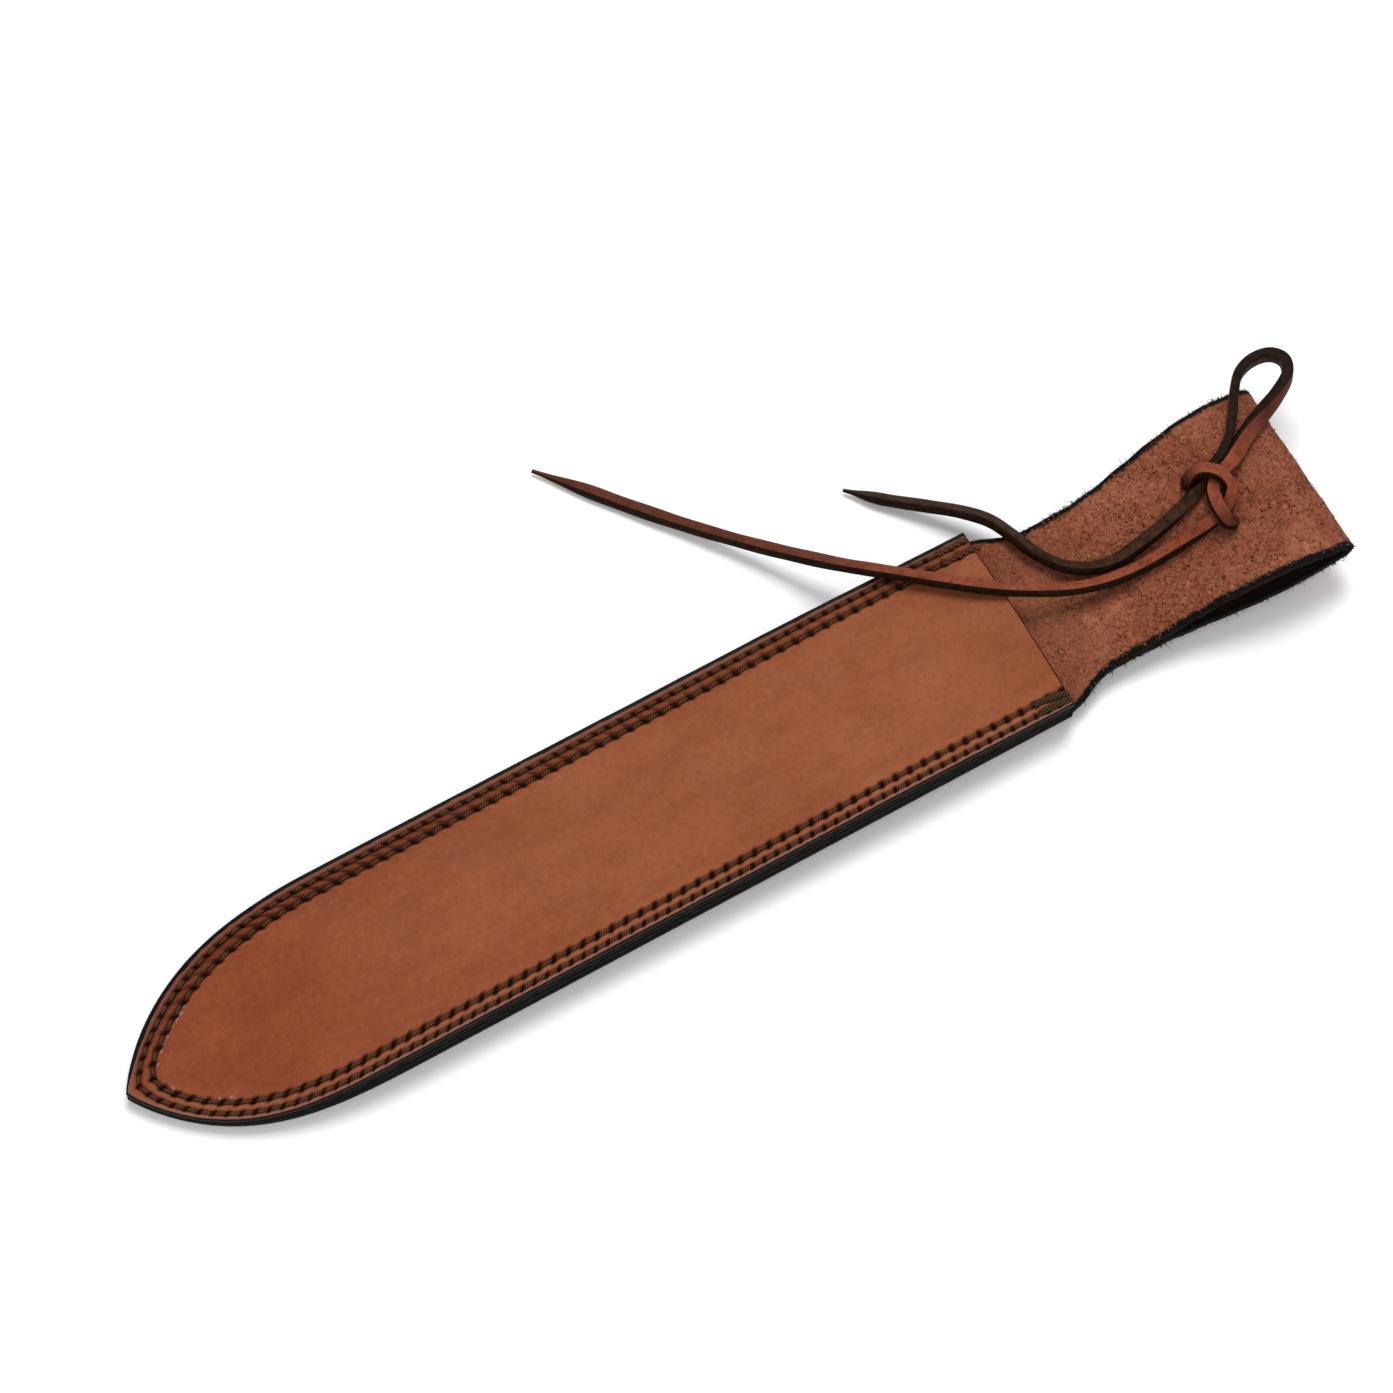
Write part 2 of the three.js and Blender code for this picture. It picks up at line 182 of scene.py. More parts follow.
def add_studio():
    """Even pale light, two soft lamps and a pale floor."""
    world = bpy.data.worlds.new("studio")
    world.use_nodes = True
    world.node_tree.nodes["Background"].inputs["Color"].default_value = (1, 1, 1, 1)
    world.node_tree.nodes["Background"].inputs["Strength"].default_value = 0.6
    bpy.context.scene.world = world
    bpy.context.scene.view_settings.view_transform = "Standard"
    add_light("key", (-0.7, 0.5, 1.7), 0.9, 27)
    add_light("fill", (1.2, -0.9, 1.2), 1.4, 9)
    bpy.ops.mesh.primitive_plane_add(size=6)
    floor = bpy.context.object
    floor.name = "floor"
    paper = Shader("floor_paper", roughness=0.9)
    paper.colour((0.93, 0.93, 0.93))
    floor.data.materials.append(paper.material)


# ---- outline and heights, in millimetres ----

def smooth(value, start, end):
    """0 before start, 1 after end and an even rise between them."""
    share = np.clip((value - start) / (end - start), 0, 1)
    return share * share * (3 - 2 * share)


def bell(value, width):
    """1 at 0, falling away on both sides."""
    return np.exp(-((value / width) ** 2))


def outline(y, inset=0.0):
    """Half width of the line that lies `inset` inside the body's edge."""
    start = TIP_SHARE * inset
    share = np.clip((y - start) / (TIP_LENGTH - start), 0, 1)
    return (HALF_WIDTH - inset) * (1 - (1 - share) ** 3.6) ** 0.9


def base_height(y):
    """The underside of the back panel, which climbs from the tip on to the flap."""
    return REAR_SLOPE * y


def welt_space(y):
    """How far apart the two panels are."""
    rise = (WELT_SPACE_FULL - WELT_SPACE_TIP) * smooth(y, WELT_START, WELT_FULL)
    fall = (WELT_SPACE_FULL - WELT_SPACE_MOUTH) * smooth(y, WELT_FALL, BODY_LENGTH)
    return WELT_SPACE_TIP + rise - fall


def crown(x, y):
    """How far the front panel bulges over the pocket."""
    inner = np.maximum(outline(y, CROWN_INSET), 0.01)
    swell = CROWN * smooth(y, WELT_START, WELT_FULL) * (1 - (x / inner) ** 2)
    return np.where(np.abs(x) < inner, swell, 0)


def front_underside(x, y):
    return base_height(y) + LEATHER + welt_space(y) + crown(x, y)


def ripple(x, y, length, seed):
    """Smooth unevenness between about -1 and 1, with bumps about `length` apart."""
    draw = np.random.default_rng(seed)
    total = 0
    for _ in range(7):
        angle, phase = draw.uniform(0, 2 * math.pi, 2)
        turn = 2 * math.pi / (length * draw.uniform(0.7, 1.6))
        total = total + np.sin(turn * (math.cos(angle) * x + math.sin(angle) * y) + phase)
    return total / 3.5


def line_y(share, inset):
    """The y of the point that is this share of the way from the tip to the mouth, at this inset."""
    return TIP_SHARE * inset + (BODY_LENGTH - TIP_SHARE * inset) * share


def line_length(points):
    """How far each point of a line is along it."""
    return np.concatenate([[0], np.cumsum(np.linalg.norm(np.diff(points, axis=0), axis=1))])


# Stations along the margin: the share of the way to the mouth, and the distance from the tip along the
# line between the two rows
ROWS_MIDDLE = 4.5
STATION_SHARE = np.linspace(0, 1, 6001) ** 2
_middle_y = line_y(STATION_SHARE, ROWS_MIDDLE)
STATION_RUN = line_length(np.stack([_middle_y, outline(_middle_y, ROWS_MIDDLE)], 1))
RUN_LENGTH = STATION_RUN[-1]


def share_at(run):
    """The share of the way to the mouth at a run, which is negative on the left."""
    return np.interp(np.abs(run), STATION_RUN, STATION_SHARE)


def run_at(y, inset):
    """The run of the station whose point at this inset has this y."""
    share = (y - TIP_SHARE * inset) / (BODY_LENGTH - TIP_SHARE * inset)
    return float(np.interp(share, STATION_SHARE, STATION_RUN))


def row_inset(row, run):
    """A row's inset; it cuts the corner at the tip and drifts outwards on the left near the mouth."""
    left, right = row["inset"]
    middle = left + (right - left) * smooth(run, -30, 30)
    return middle + row["corner"] * bell(run, 4.5) - MOUTH_DRIFT * smooth(-run, 200, 330)


# ---- meshes ----

def add_piece(name, points, faces, material, slot, replaces=(), attributes=None):
    """A mesh piece from points in sheath millimetres. attributes holds one number per point and name."""
    placed = (np.asarray(points, float) + (0, TIP_Y, 0)) * MM
    mesh = bpy.data.meshes.new(name)
    mesh.from_pydata(placed.tolist(), [], faces)
    for key, values in (attributes or {}).items():
        layer = mesh.attributes.new(key, "FLOAT", "POINT")
        layer.data.foreach_set("value", np.asarray(values, np.float32).ravel())
    mesh.polygons.foreach_set("use_smooth", np.ones(len(mesh.polygons), bool))
    mesh.materials.append(material)
    piece = bpy.data.objects.new(name, mesh)
    bpy.context.scene.collection.objects.link(piece)
    tidy_mesh(mesh)
    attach(piece, "root")
    if replaces:
        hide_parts(*replaces)
    return piece


def tidy_mesh(mesh):
    """Joins points that fall together, as at the tip, and turns every face outwards."""
    work = bmesh.new()
    work.from_mesh(mesh)
    bmesh.ops.remove_doubles(work, verts=work.verts, dist=2e-6)
    bmesh.ops.dissolve_degenerate(work, dist=1e-7, edges=work.edges)
    bmesh.ops.recalc_face_normals(work, faces=work.faces)
    work.to_mesh(mesh)
    work.free()


def grid_faces(rows, columns, ring=True, caps=(False, False)):
    """Quads between neighbouring rows; ring joins the last column to the first; caps close the ends."""
    across = np.arange(columns if ring else columns - 1)
    after = (across + 1) % columns
    start = (np.arange(rows - 1) * columns)[:, None]
    quads = np.stack([start + across, start + after, start + columns + after, start + columns + across], -1)
    faces = quads.reshape(-1, 4).tolist()
    if caps[0]:
        faces.append(list(range(columns))[::-1])
    if caps[1]:
        faces.append(list(range((rows - 1) * columns, rows * columns)))
    return faces


def columns_round(fine, coarse, middle_fine, middle_coarse, walls):
    """The columns of a sheet's section, all the way round: side, inset, share across the middle, and
    level from 0 at the underside to 1 on top."""
    def face(insets, middle, level):
        left = [(-1, d, 1, level) for d in insets[::-1]]
        right = [(1, d, 1, level) for d in insets]
        between = [(1, BAND, u, level) for u in np.linspace(-1, 1, middle)[1:-1]]
        return left + between + right
    top = face(fine, middle_fine, 1.0)
    bottom = face(coarse, middle_coarse, 0.0)[::-1]
    levels = np.linspace(1, 0, walls + 2)[1:-1]
    right_wall = [(1, 0, 1, level) for level in levels]
    left_wall = [(-1, 0, 1, level) for level in levels[::-1]]
    return np.array(top + right_wall + bottom + left_wall, float).T


# A mark above 1 keeps the cut edges black all over, however much the dye wanders
WALL_EDGE = 1.4
EDGE_STEPS = [1.1, 0.9, 0.7, 0.52, 0.36, 0.22, 0.12, 0.05, 0]
FINE_BAND = list(np.arange(BAND, 1.3, -0.28)) + EDGE_STEPS
COARSE_BAND = [BAND, 6, 3, 1.5] + EDGE_STEPS[1::2] + [0]


def rounded(inset, radius):
    """How far a rounded edge has dropped at this inset."""
    short = np.clip(radius - inset, 0, radius)
    return radius - np.sqrt(np.maximum(radius ** 2 - short ** 2, 0))


def stitches(row, run):
    """How many stitches from the tip a place is, negative on the left, and the stitch length there."""
    pitch = np.where(run < 0, *row["pitch"])
    return run / pitch, pitch


def near_row(row, run, inset):
    """(distance across the row, distance along it to the nearest hole)."""
    count, pitch = stitches(row, run)
    return inset - row_inset(row, run), (count - np.round(count)) * pitch


def seam_marks(run, inset):
    """Height change that both rows of stitches press into the grain side, and darkening along them: painted
    shade in each hole, and in each row's groove the thread's dark colour with painted shade, deeper on the
    left.
    """
    height, dark = 0, 0
    for row in (OUTER, INNER):
        across, along = near_row(row, run, inset)
        hole = np.exp(-((across / row["hole"]) ** 2 + (along / row["hole"]) ** 2))
        height = height - ROW_SINK * bell(across, 0.75) - HOLE_SINK * hole
        # The groove is the thread's dark colour with painted shade, deeper on the left; the dark at each hole
        # is painted shade
        groove = (0.5 + 0.3 * (1 - smooth(run, -20, 20))) * bell(across, 1.0)
        dark = np.maximum(dark, np.maximum(np.clip(1.4 * hole, 0, 1), groove))
    return height, dark


def front_relief(run, inset):
    """The front panel's relief in its margin: sunk rows, the roped strip between them on the left, and the
    puffed edge of the pocket. Also the painted shade in the holes, and painted shade over the left margin
    that is deepest in the rope's creases."""
    height, dark = seam_marks(run, inset)
    left_share = 1 - smooth(run, -35, 10)
    roped = left_share * (1 - 0.45 * smooth(-run, 120, 260))
    outer, inner = row_inset(OUTER, run), row_inset(INNER, run)
    middle, half = (outer + inner) / 2, (inner - outer) / 2
    ridge = np.cos(np.clip((inset - middle) / half, -1, 1) * math.pi / 2) ** 2
    # One crease of the rope at each stitch of the inner row, leaning a little and uneven along the row
    count = stitches(INNER, run)[0]
    crease = bell(np.sin(math.pi * (count + 0.16 * (inset - middle))), 0.42)
    wander = 0.8 + 0.2 * np.sin(run / 17.0) + 0.15 * np.sin(run / 5.3 + 1)
    height = height + ridge * (0.12 + roped * (0.5 * (1 - crease) - 0.25 * crease) * wander)
    # The pocket's edge puffs up between the stitches, and the outer edge is pressed down and rounded
    scallop = 0.5 - 0.5 * np.cos(2 * math.pi * count)
    height = height + (0.24 + roped * 0.3 * scallop) * bell(inset - inner - 1.5, 1.0)
    height = height - 0.3 * (1 - smooth(inset, 0, outer)) - rounded(inset, 0.8)
    # Painted shade over the left margin inside the inner row, deepest in the rope's creases
    painted_margin_shade = ridge * roped * (0.3 + 0.7 * crease * wander) + 0.35 * left_share * (inset < inner)
    return height, dark, painted_margin_shade


def body_grid(columns, rows):
    """Places of a body sheet's points: x, y, run and inset for each row and column."""
    side, inset, across, _ = columns
    last = RUN_LENGTH - np.array([0.7, 0.5, 0.35, 0.22, 0.12, 0.05, 0])
    run = np.concatenate([np.linspace(0, RUN_LENGTH - 1, rows), last])[:, None]
    share = share_at(run)
    y = line_y(share, inset)
    x = side * across * outline(y, inset)
    signed = run * np.where(across < 1, np.sign(x), side)
    depth = np.where(across < 1, outline(y) - np.abs(x), inset)
    return x, y, signed, depth


def make_front_panel(material):
    """The front panel: grain side up, with its seams' relief and the marks that its material reads."""
    columns = columns_round(FINE_BAND, COARSE_BAND, 72, 12, 5)
    x, y, run, inset = body_grid(columns, PANEL_ROWS)
    level = columns[3]
    relief, dark, painted_margin_shade = front_relief(run, inset)
    to_mouth = BODY_LENGTH - y
    relief = relief * (inset < 14) + 0.16 * ripple(x, y, 38, 3) + 0.05 * ripple(x, y, 9, 4)
    top = front_underside(x, y) + LEATHER + relief - rounded(to_mouth, 0.45)
    bottom = front_underside(x, y) + rounded(inset, 0.5)
    z = bottom + (top - bottom) * level
    # On the left the black dye comes over the edge on to the face
    black = 0.18 + (1.15 + 0.15 * ripple(run, 0 * run, 6, 8)) * (1 - smooth(run, -12, 4))
    edge = np.maximum(1 - smooth(inset, black, black + 0.35), 1 - smooth(to_mouth, 0.3, 0.6))
    near_tip = 1 - smooth(np.abs(run), 18, 60)
    marks = {
        "edge": np.where(level < 1, 1, edge),
        # Painted shade in the stitch holes and along the rows
        "hole": np.where(level == 1, dark, 0),
        # Painted shade over the left margin and in the rope's creases
        "painted_margin_shade": painted_margin_shade * (level == 1),
        # The rim strip inside the black edge: a painted highlight on the right, greyish dark brown and wider
        # on the left
        "rim": (1 - smooth(inset, 0.8, 1.7 + 2.0 * (1 - smooth(run, -20, 10)))) * (level == 1),
        "scuff": near_tip * bell(inset - row_inset(INNER, run) - 1.2, 0.7) * (level == 1),
        "tip": 1 - smooth(y, 20, 190),
        "right": smooth(run, -10, 20) * (inset < row_inset(INNER, run)),
    }
    points = np.stack([x, y, z], -1).reshape(-1, 3)
    marks = {key: values * np.ones_like(z) for key, values in marks.items()}
    return add_piece("front_panel_leather", points, grid_faces(*z.shape, caps=(False, True)), material,
                     "panel_leather", ["front_panel"], marks)


# ---- the back panel and its belt loop ----

def smooth_path(points, steps):
    """A centripetal Catmull-Rom line through the points, with `steps` steps between neighbours."""
    p = np.asarray(points, float)
    p = np.vstack([2 * p[0] - p[1], p, 2 * p[-1] - p[-2]])
    made = []
    for i in range(1, len(p) - 2):
        gaps = [max(np.linalg.norm(p[i + k] - p[i + k - 1]) ** 0.5, 1e-6) for k in (0, 1, 2)]
        before = (p[i] - p[i - 1]) / gaps[0] - (p[i + 1] - p[i - 1]) / (gaps[0] + gaps[1])
        after = (p[i + 1] - p[i]) / gaps[1] - (p[i + 2] - p[i]) / (gaps[1] + gaps[2])
        m0 = (before + (p[i + 1] - p[i]) / gaps[1]) * gaps[1]
        m1 = (after + (p[i + 2] - p[i + 1]) / gaps[2]) * gaps[1]
        t = np.linspace(0, 1, steps, endpoint=False)[:, None]
        made.append((2 * t ** 3 - 3 * t ** 2 + 1) * p[i] + (t ** 3 - 2 * t ** 2 + t) * m0
                    + (3 * t ** 2 - 2 * t ** 3) * p[i + 1] + (t ** 3 - t ** 2) * m1)
    return np.vstack(made + [p[-2:-1]])


def spaced(path, gap):
    """The same line with points about `gap` apart."""
    run = line_length(path)
    at = np.linspace(0, run[-1], max(int(run[-1] / gap), 2))
    return np.stack([np.interp(at, run, path[:, k]) for k in range(path.shape[1])], 1)


def strap_half_width(y, returning):
    """Half the strap's width, or the flap's where it is returning."""
    waist = HALF_WIDTH + (WAIST_HALF_WIDTH - HALF_WIDTH) * smooth(y, SHOULDER_START, SHOULDER_END)
    wide = waist + (FOLD_HALF_WIDTH - WAIST_HALF_WIDTH) * smooth(y, 350, FOLD_REACH - 6)
    flap = FLAP_HALF_WIDTH + (FOLD_HALF_WIDTH - FLAP_HALF_WIDTH) * smooth(y, 330, FOLD_REACH - 6)
    rounding = 4 * (1 - smooth(y, FLAP_END, FLAP_END + 8)) ** 2
    return np.where(returning, flap - rounding, wide)


def flap_row_distance(x, y):
    """Distance from the row of stitches that holds the flap."""
    corner = FLAP_ROW["corner"]
    beyond_x = np.abs(x) - (FLAP_ROW["half"] - corner)
    beyond_y = FLAP_ROW["near"] + corner - y
    outside = np.hypot(np.maximum(beyond_x, 0), np.maximum(beyond_y, 0))
    inside = np.minimum(np.maximum(beyond_x, beyond_y), 0)
    return np.where(y < FLAP_ROW["far"] + 2, np.abs(outside + inside - corner), 9)


def strap_rows():
    """The strap's mid line as (y, z) from the mouth round the fold to the flap's end, its direction, and
    which of its points are on the way back."""
    loop = smooth_path(LOOP_ROUTE, 24)
    flap = np.stack([np.linspace(BODY_LENGTH, FLAP_END, 90), np.full(90, LEATHER / 2)], 1)[1:]
    path = spaced(np.vstack([loop, flap]), 0.62)[1:]
    tangent = np.gradient(path, axis=0)
    tangent /= np.linalg.norm(tangent, axis=1)[:, None]
    fold = int(np.argmax(path[:, 0]))
    returning = np.arange(len(path)) > fold
    return path, tangent, returning


def back_body(columns):
    """The back panel under the pocket: the points and marks of its rows, from the tip to the mouth."""
    level = columns[3]
    x, y, run, depth = body_grid(columns, BACK_ROWS)
    dents, dark = seam_marks(run, depth)
    bottom = base_height(y) - np.where(depth < 14, dents, 0) * 0.8 + rounded(depth, 0.6)
    top = base_height(y) + LEATHER - rounded(depth, 0.5)
    z = bottom + (top - bottom) * level
    dyed = 0.7 + 1.9 * smooth(y, BODY_LENGTH - 8, BODY_LENGTH)
    marks = {
        "edge": np.where((level > 0) & (level < 1), WALL_EDGE, 1 - smooth(depth, 0.1, dyed)),
        "hole": dark * (level == 0),
        "suede": level,
        "inside": 0,
        "calm": 1,
    }
    return np.stack([x, y, z], -1), {key: values * np.ones_like(z) for key, values in marks.items()}


def strap_and_flap(columns):
    """The back panel past the mouth: the points and marks of the strap, its fold and the flap."""
    side, inset, across, level = columns
    path, tangent, returning = strap_rows()
    middle_y, returning = path[:, 0:1], returning[:, None]
    half = strap_half_width(middle_y, returning)
    ragged = 0.16 * ripple(middle_y, 40 * side + 90 * returning, 7, 11)
    wave = 0.35 * ripple(middle_y, 60 * side, 40, 12)
    reach = half + (ragged + wave) * (across == 1) * bell(inset, 3.0)
    x = side * np.where(across < 1, across * (half - BAND), reach - inset)
    y, z = middle_y + 0 * x, path[:, 1:2] + 0 * x
    depth = np.where(across < 1, half - np.abs(x), inset)
    swell = 0.2 * ripple(x, y + 50 * returning, 16, 13) + 0.1 * ripple(x, y, 4.2, 14)
    swell = swell * smooth(y, BODY_LENGTH - 6, BODY_LENGTH + 8) * smooth(depth, 0, 2)
    swell = np.where(returning & (y < 330), 0, swell)
    groove = np.where(returning, bell(flap_row_distance(x, y), 0.7), 0)
    holes = sum(bell(np.hypot(x - hole_x, y - hole_y), 2.3) for hole_x, hole_y in HOLE_PLACES)
    holes = np.where(returning, 0, holes)
    outer_face = LEATHER / 2 + swell - rounded(depth, 0.55) - 0.62 * groove - 1.1 * holes
    inner_face = -LEATHER / 2 + rounded(depth, 0.5)
    offset = inner_face + (outer_face - inner_face) * level
    y = y - tangent[:, 1:2] * offset
    z = np.maximum(z + tangent[:, 0:1] * offset, 0)
    marks = {
        "edge": np.where((level > 0) & (level < 1), WALL_EDGE, 1 - smooth(depth, 0.3, 2.6)),
        # Painted shade in the lace holes and along the flap's seam groove
        "hole": np.maximum(holes, 0.6 * groove) * (level == 1),
        "suede": level,
        # Painted shade: the grain face inside the belt loop darkens towards the fold
        "inside": (1 - level) * smooth(middle_y, 318, 345),
        "calm": 1 - smooth(y, BODY_LENGTH + 6, BODY_LENGTH + 34),
    }
    return np.stack([x, y, z], -1), {key: values * np.ones_like(z) for key, values in marks.items()}


def make_back_panel(material):
    """The back panel and its belt loop, as one sheet of leather."""
    columns = columns_round(COARSE_BAND, FINE_BAND, 96, 60, 5)
    body, body_marks = back_body(columns)
    strap, strap_marks = strap_and_flap(columns)
    points = np.concatenate([body, strap])
    marks = {key: np.concatenate([body_marks[key], strap_marks[key]]) for key in body_marks}
    faces = grid_faces(*points.shape[:2], caps=(False, True))
    return add_piece("back_panel_and_strap_leather", points.reshape(-1, 3), faces, material,
                     "suede_leather", ["back_panel_and_belt_loop"], marks)


# ---- welts ----

def make_welt(side_name, side, ply, material):
    """One ply of the welt: ply 0 is the lower and 1 the upper."""
    run = np.linspace(run_at(WELT_START, 0), run_at(BODY_LENGTH - 0.6, 0), WELT_ROWS)[:, None]
    insets = [0.9, 0.5, 0.25, 0.08, 0.08, 0.25, 0.5, 0.9, BAND, BAND]
    lift = [1, 0.97, 0.9, 0.78, 0.22, 0.1, 0.03, 0, 0, 1]
    inset = np.array(insets) + 0.07 * ripple(run, 30 * ply + 0 * run, 6, 20 + ply + side)
    inset = inset + 0.5 * smooth(line_y(share_at(run), 0), BODY_LENGTH - 4, BODY_LENGTH) ** 2
    y = line_y(share_at(run), inset)
    x = side * outline(y, inset)
    thick = np.maximum(welt_space(y) / 2 - 0.1, 0.12)
    low = base_height(y) + LEATHER + 0.05 + ply * (welt_space(y) / 2)
    z = low + thick * np.array(lift)
    points = np.stack([x, y, z], -1).reshape(-1, 3)
    node = f"welt_{'upper' if ply else 'lower'}_ply_{side_name}"
    return add_piece(node + "_leather", points, grid_faces(*z.shape, caps=(True, True)), material,
                     "welt_edge", [node])


# ---- swept pieces: threads, lace and fibres ----

def frames_along(path, up=(0, 0, 1)):
    """Tangent, sideways and upward directions at each point of a path."""
    tangent = np.gradient(path, axis=0)
    tangent /= np.linalg.norm(tangent, axis=1)[:, None]
    up = np.broadcast_to(np.asarray(up, float), path.shape)
    sideways = np.cross(up, tangent)
    small = np.linalg.norm(sideways, axis=1) < 0.25
    sideways[small] = np.nan
    for k in range(3):
        good = ~np.isnan(sideways[:, k])
        sideways[:, k] = np.interp(np.arange(len(path)), np.flatnonzero(good), sideways[good, k])
    sideways -= tangent * (sideways * tangent).sum(1)[:, None]
    sideways /= np.linalg.norm(sideways, axis=1)[:, None]
    return tangent, sideways, np.cross(tangent, sideways)


def circle(sides):
    """A round section one millimetre in radius."""
    turn = np.arange(sides) * 2 * math.pi / sides
    return np.stack([np.cos(turn), np.sin(turn)], 1)


def swept(path, section, scale=1.0, roll=0.0, up=(0, 0, 1)):
    """Points and faces of a section drawn along a path; scale and roll may change along it."""
    _, sideways, upward = frames_along(path, up)
    roll = np.broadcast_to(np.asarray(roll, float), len(path))
    scale = np.broadcast_to(np.asarray(scale, float), len(path))
    c, s = np.cos(roll)[:, None, None], np.sin(roll)[:, None, None]
    a, b = section[None, :, 0:1], section[None, :, 1:2]
    u, v = a * c - b * s, a * s + b * c
    k = scale[:, None, None]
    points = path[:, None] + k * (u * sideways[:, None] + v * upward[:, None])
    return points.reshape(-1, 3), grid_faces(len(path), len(section), caps=(True, True))


def join(shapes):
    """Several (points, faces) as one."""
    points, faces, count = [], [], 0
    for shape_points, shape_faces in shapes:
        points.append(shape_points)
        faces += [[index + count for index in face] for face in shape_faces]
        count += len(shape_points)
    return np.vstack(points), faces


def thread_marks(path, sides, twist=1.6, dip=0.0):
    """The helix of the thread's plies at each point of its tube, in turns, and how deep it has dipped."""
    turns = (line_length(path) / twist)[:, None] + np.arange(sides) / sides
    return {"ply": turns.ravel(), "dip": np.repeat(dip * np.ones(len(path)), sides)}


STITCH_SHARES = np.array([0, 0.07, 0.14, 0.23, 0.36, 0.5, 0.64, 0.77, 0.86, 0.93])


def stitched_path(place, first, last, face, sink, rise, slant=0.0):
    """A thread's line from one stitch to another: place(count, slide) gives points on the leather and face
    is 1 on top and -1 underneath. It dips into a hole at each whole stitch. Also how deep each point has
    dipped."""
    along, lift, slide = [], [], []
    for number in range(first, last):
        wobble = RNG.normal(0, 0.03, 2)
        along.append(number + STITCH_SHARES)
        above = np.clip(np.sin(np.pi * STITCH_SHARES), 0, 1) ** 0.7
        lift.append(-sink + (rise + sink + wobble[0]) * above)
        slide.append(slant * (STITCH_SHARES - 0.5) * 2 + wobble[1])
    points = place(np.concatenate(along), np.concatenate(slide))
    lift = np.concatenate(lift)
    points[:, 2] += face * lift
    return points, np.clip((rise - lift) / (rise + sink), 0, 1)


def body_row_place(row, surface):
    """The function that places a row's thread on a surface."""
    def place(count, slide):
        run = count * np.where(count < 0, *row["pitch"])
        inset = row_inset(row, run) + slide
        y = line_y(share_at(run), inset)
        x = np.sign(run) * outline(y, inset)
        return np.stack([x, y, surface(x, y)], 1)
    return place


def front_top(x, y):
    return front_underside(x, y) + LEATHER


def back_underside(x, y):
    return base_height(y) + 0 * x


def add_thread(name, path, dip, material):
    """The piece for one seam's thread, which stands for the CAD node of that name."""
    shape = swept(path, circle(THREAD_SIDES) * THREAD)
    marks = thread_marks(path, THREAD_SIDES, dip=dip)
    return add_piece(name + "_stitches", *shape, material, "seam_thread", [name], marks)


def make_body_thread(name, row, material, underneath):
    """The thread of a row round the body, from one mouth corner to the other."""
    end = run_at(ROW_END, row["inset"][0])
    first, last = -math.floor(end / row["pitch"][0]), math.floor(end / row["pitch"][1])
    place = body_row_place(row, back_underside if underneath else front_top)
    face, sink, rise = (-1, 1.3, -0.5) if underneath else (1, 1.4, 0.12)
    path, dip = stitched_path(place, first, last, face, sink, rise, row["slant"])
    return add_thread(name, path, dip, material)


def flap_row_line():
    """The line of the flap's row as (x, y): up one side, across its end and up the other side."""
    corner, half, near = FLAP_ROW["corner"], FLAP_ROW["half"], FLAP_ROW["near"]
    turn = np.linspace(0, math.pi / 2, 8)
    arc = np.stack([half - corner + corner * np.sin(turn), near + corner - corner * np.cos(turn)], 1)
    right = np.vstack([[[0, near]], arc, [[half, FLAP_ROW["far"]]]])
    left = right[::-1] * (-1, 1)
    return spaced(np.vstack([left, right[1:]]), 0.5)


def make_flap_thread(name, material, underneath):
    """The thread of the row that holds the flap, on the flap's side or in the pocket."""
    line = flap_row_line()
    run = np.arange(len(line)) * np.linalg.norm(line[1] - line[0])

    def place(count, slide):
        x, y = (np.interp(count * FLAP_ROW["pitch"], run, line[:, k]) for k in (0, 1))
        level = 0 * y if underneath else base_height(y) + LEATHER
        return np.stack([x, y, level], 1)

    last = math.floor((run[-1] - 1) / FLAP_ROW["pitch"])
    path, dip = stitched_path(place, 1, last, -1 if underneath else 1, 1.4, -0.5)
    return add_thread(name, path, dip, material)


def twisted_strands(line, count, spread):
    """Strands that wind round a line as a flat rope, as (points, faces) and their thread marks."""
    line = spaced(smooth_path(line, 10), 0.3)
    _, sideways, upward = frames_along(line)
    run = np.arange(len(line)) * 0.3
    shapes, plies = [], []
    for number in range(count):
        turn = (2 * math.pi * (run / TACK_PITCH + number / count))[:, None]
        path = line + spread * (np.cos(turn) * sideways + 0.5 * np.sin(turn) * upward)
        shapes.append(swept(path, circle(TACK_SIDES) * TACK_STRAND))
        plies.append(thread_marks(path, TACK_SIDES, TACK_PLY))
    return shapes, plies


def knot_line(middle):
    """A small tangle of thread round a point."""
    turn = np.linspace(0, 2 * math.pi, 60)
    shape = np.stack([np.sin(turn) + 0.7 * np.sin(2 * turn), np.cos(turn) - 0.7 * np.cos(2 * turn),
                      -0.8 * np.sin(3 * turn)], 1)
    return middle + 0.42 * shape


def make_mouth_tack(name, side, tack, material):
    """Thread wound back over both rows beside the mouth, with a knot at its end if it has one."""
    shapes, plies = [], []
    for line in tack["lines"]:
        y, inset, height = np.array(line).T
        x = side * (HALF_WIDTH - inset)
        z = front_top(x, np.minimum(y, BODY_LENGTH)) + height
        made, marks = twisted_strands(np.stack([x, y, z], 1), tack["strands"], tack["spread"])
        shapes += made
        plies += marks
    if "knot" in tack:
        inset, y = tack["knot"]
        x = side * (HALF_WIDTH - inset)
        knot = knot_line(np.array([x, y, front_top(x, BODY_LENGTH) - 0.2]))
        shapes.append(swept(knot, circle(TACK_SIDES) * TACK_STRAND))
        plies.append(thread_marks(knot, TACK_SIDES, TACK_PLY))
    marks = {key: np.concatenate([ply[key] for ply in plies]) for key in plies[0]}
    return add_piece(name + "_stitches", *join(shapes), material, "tack_thread", [name], marks)


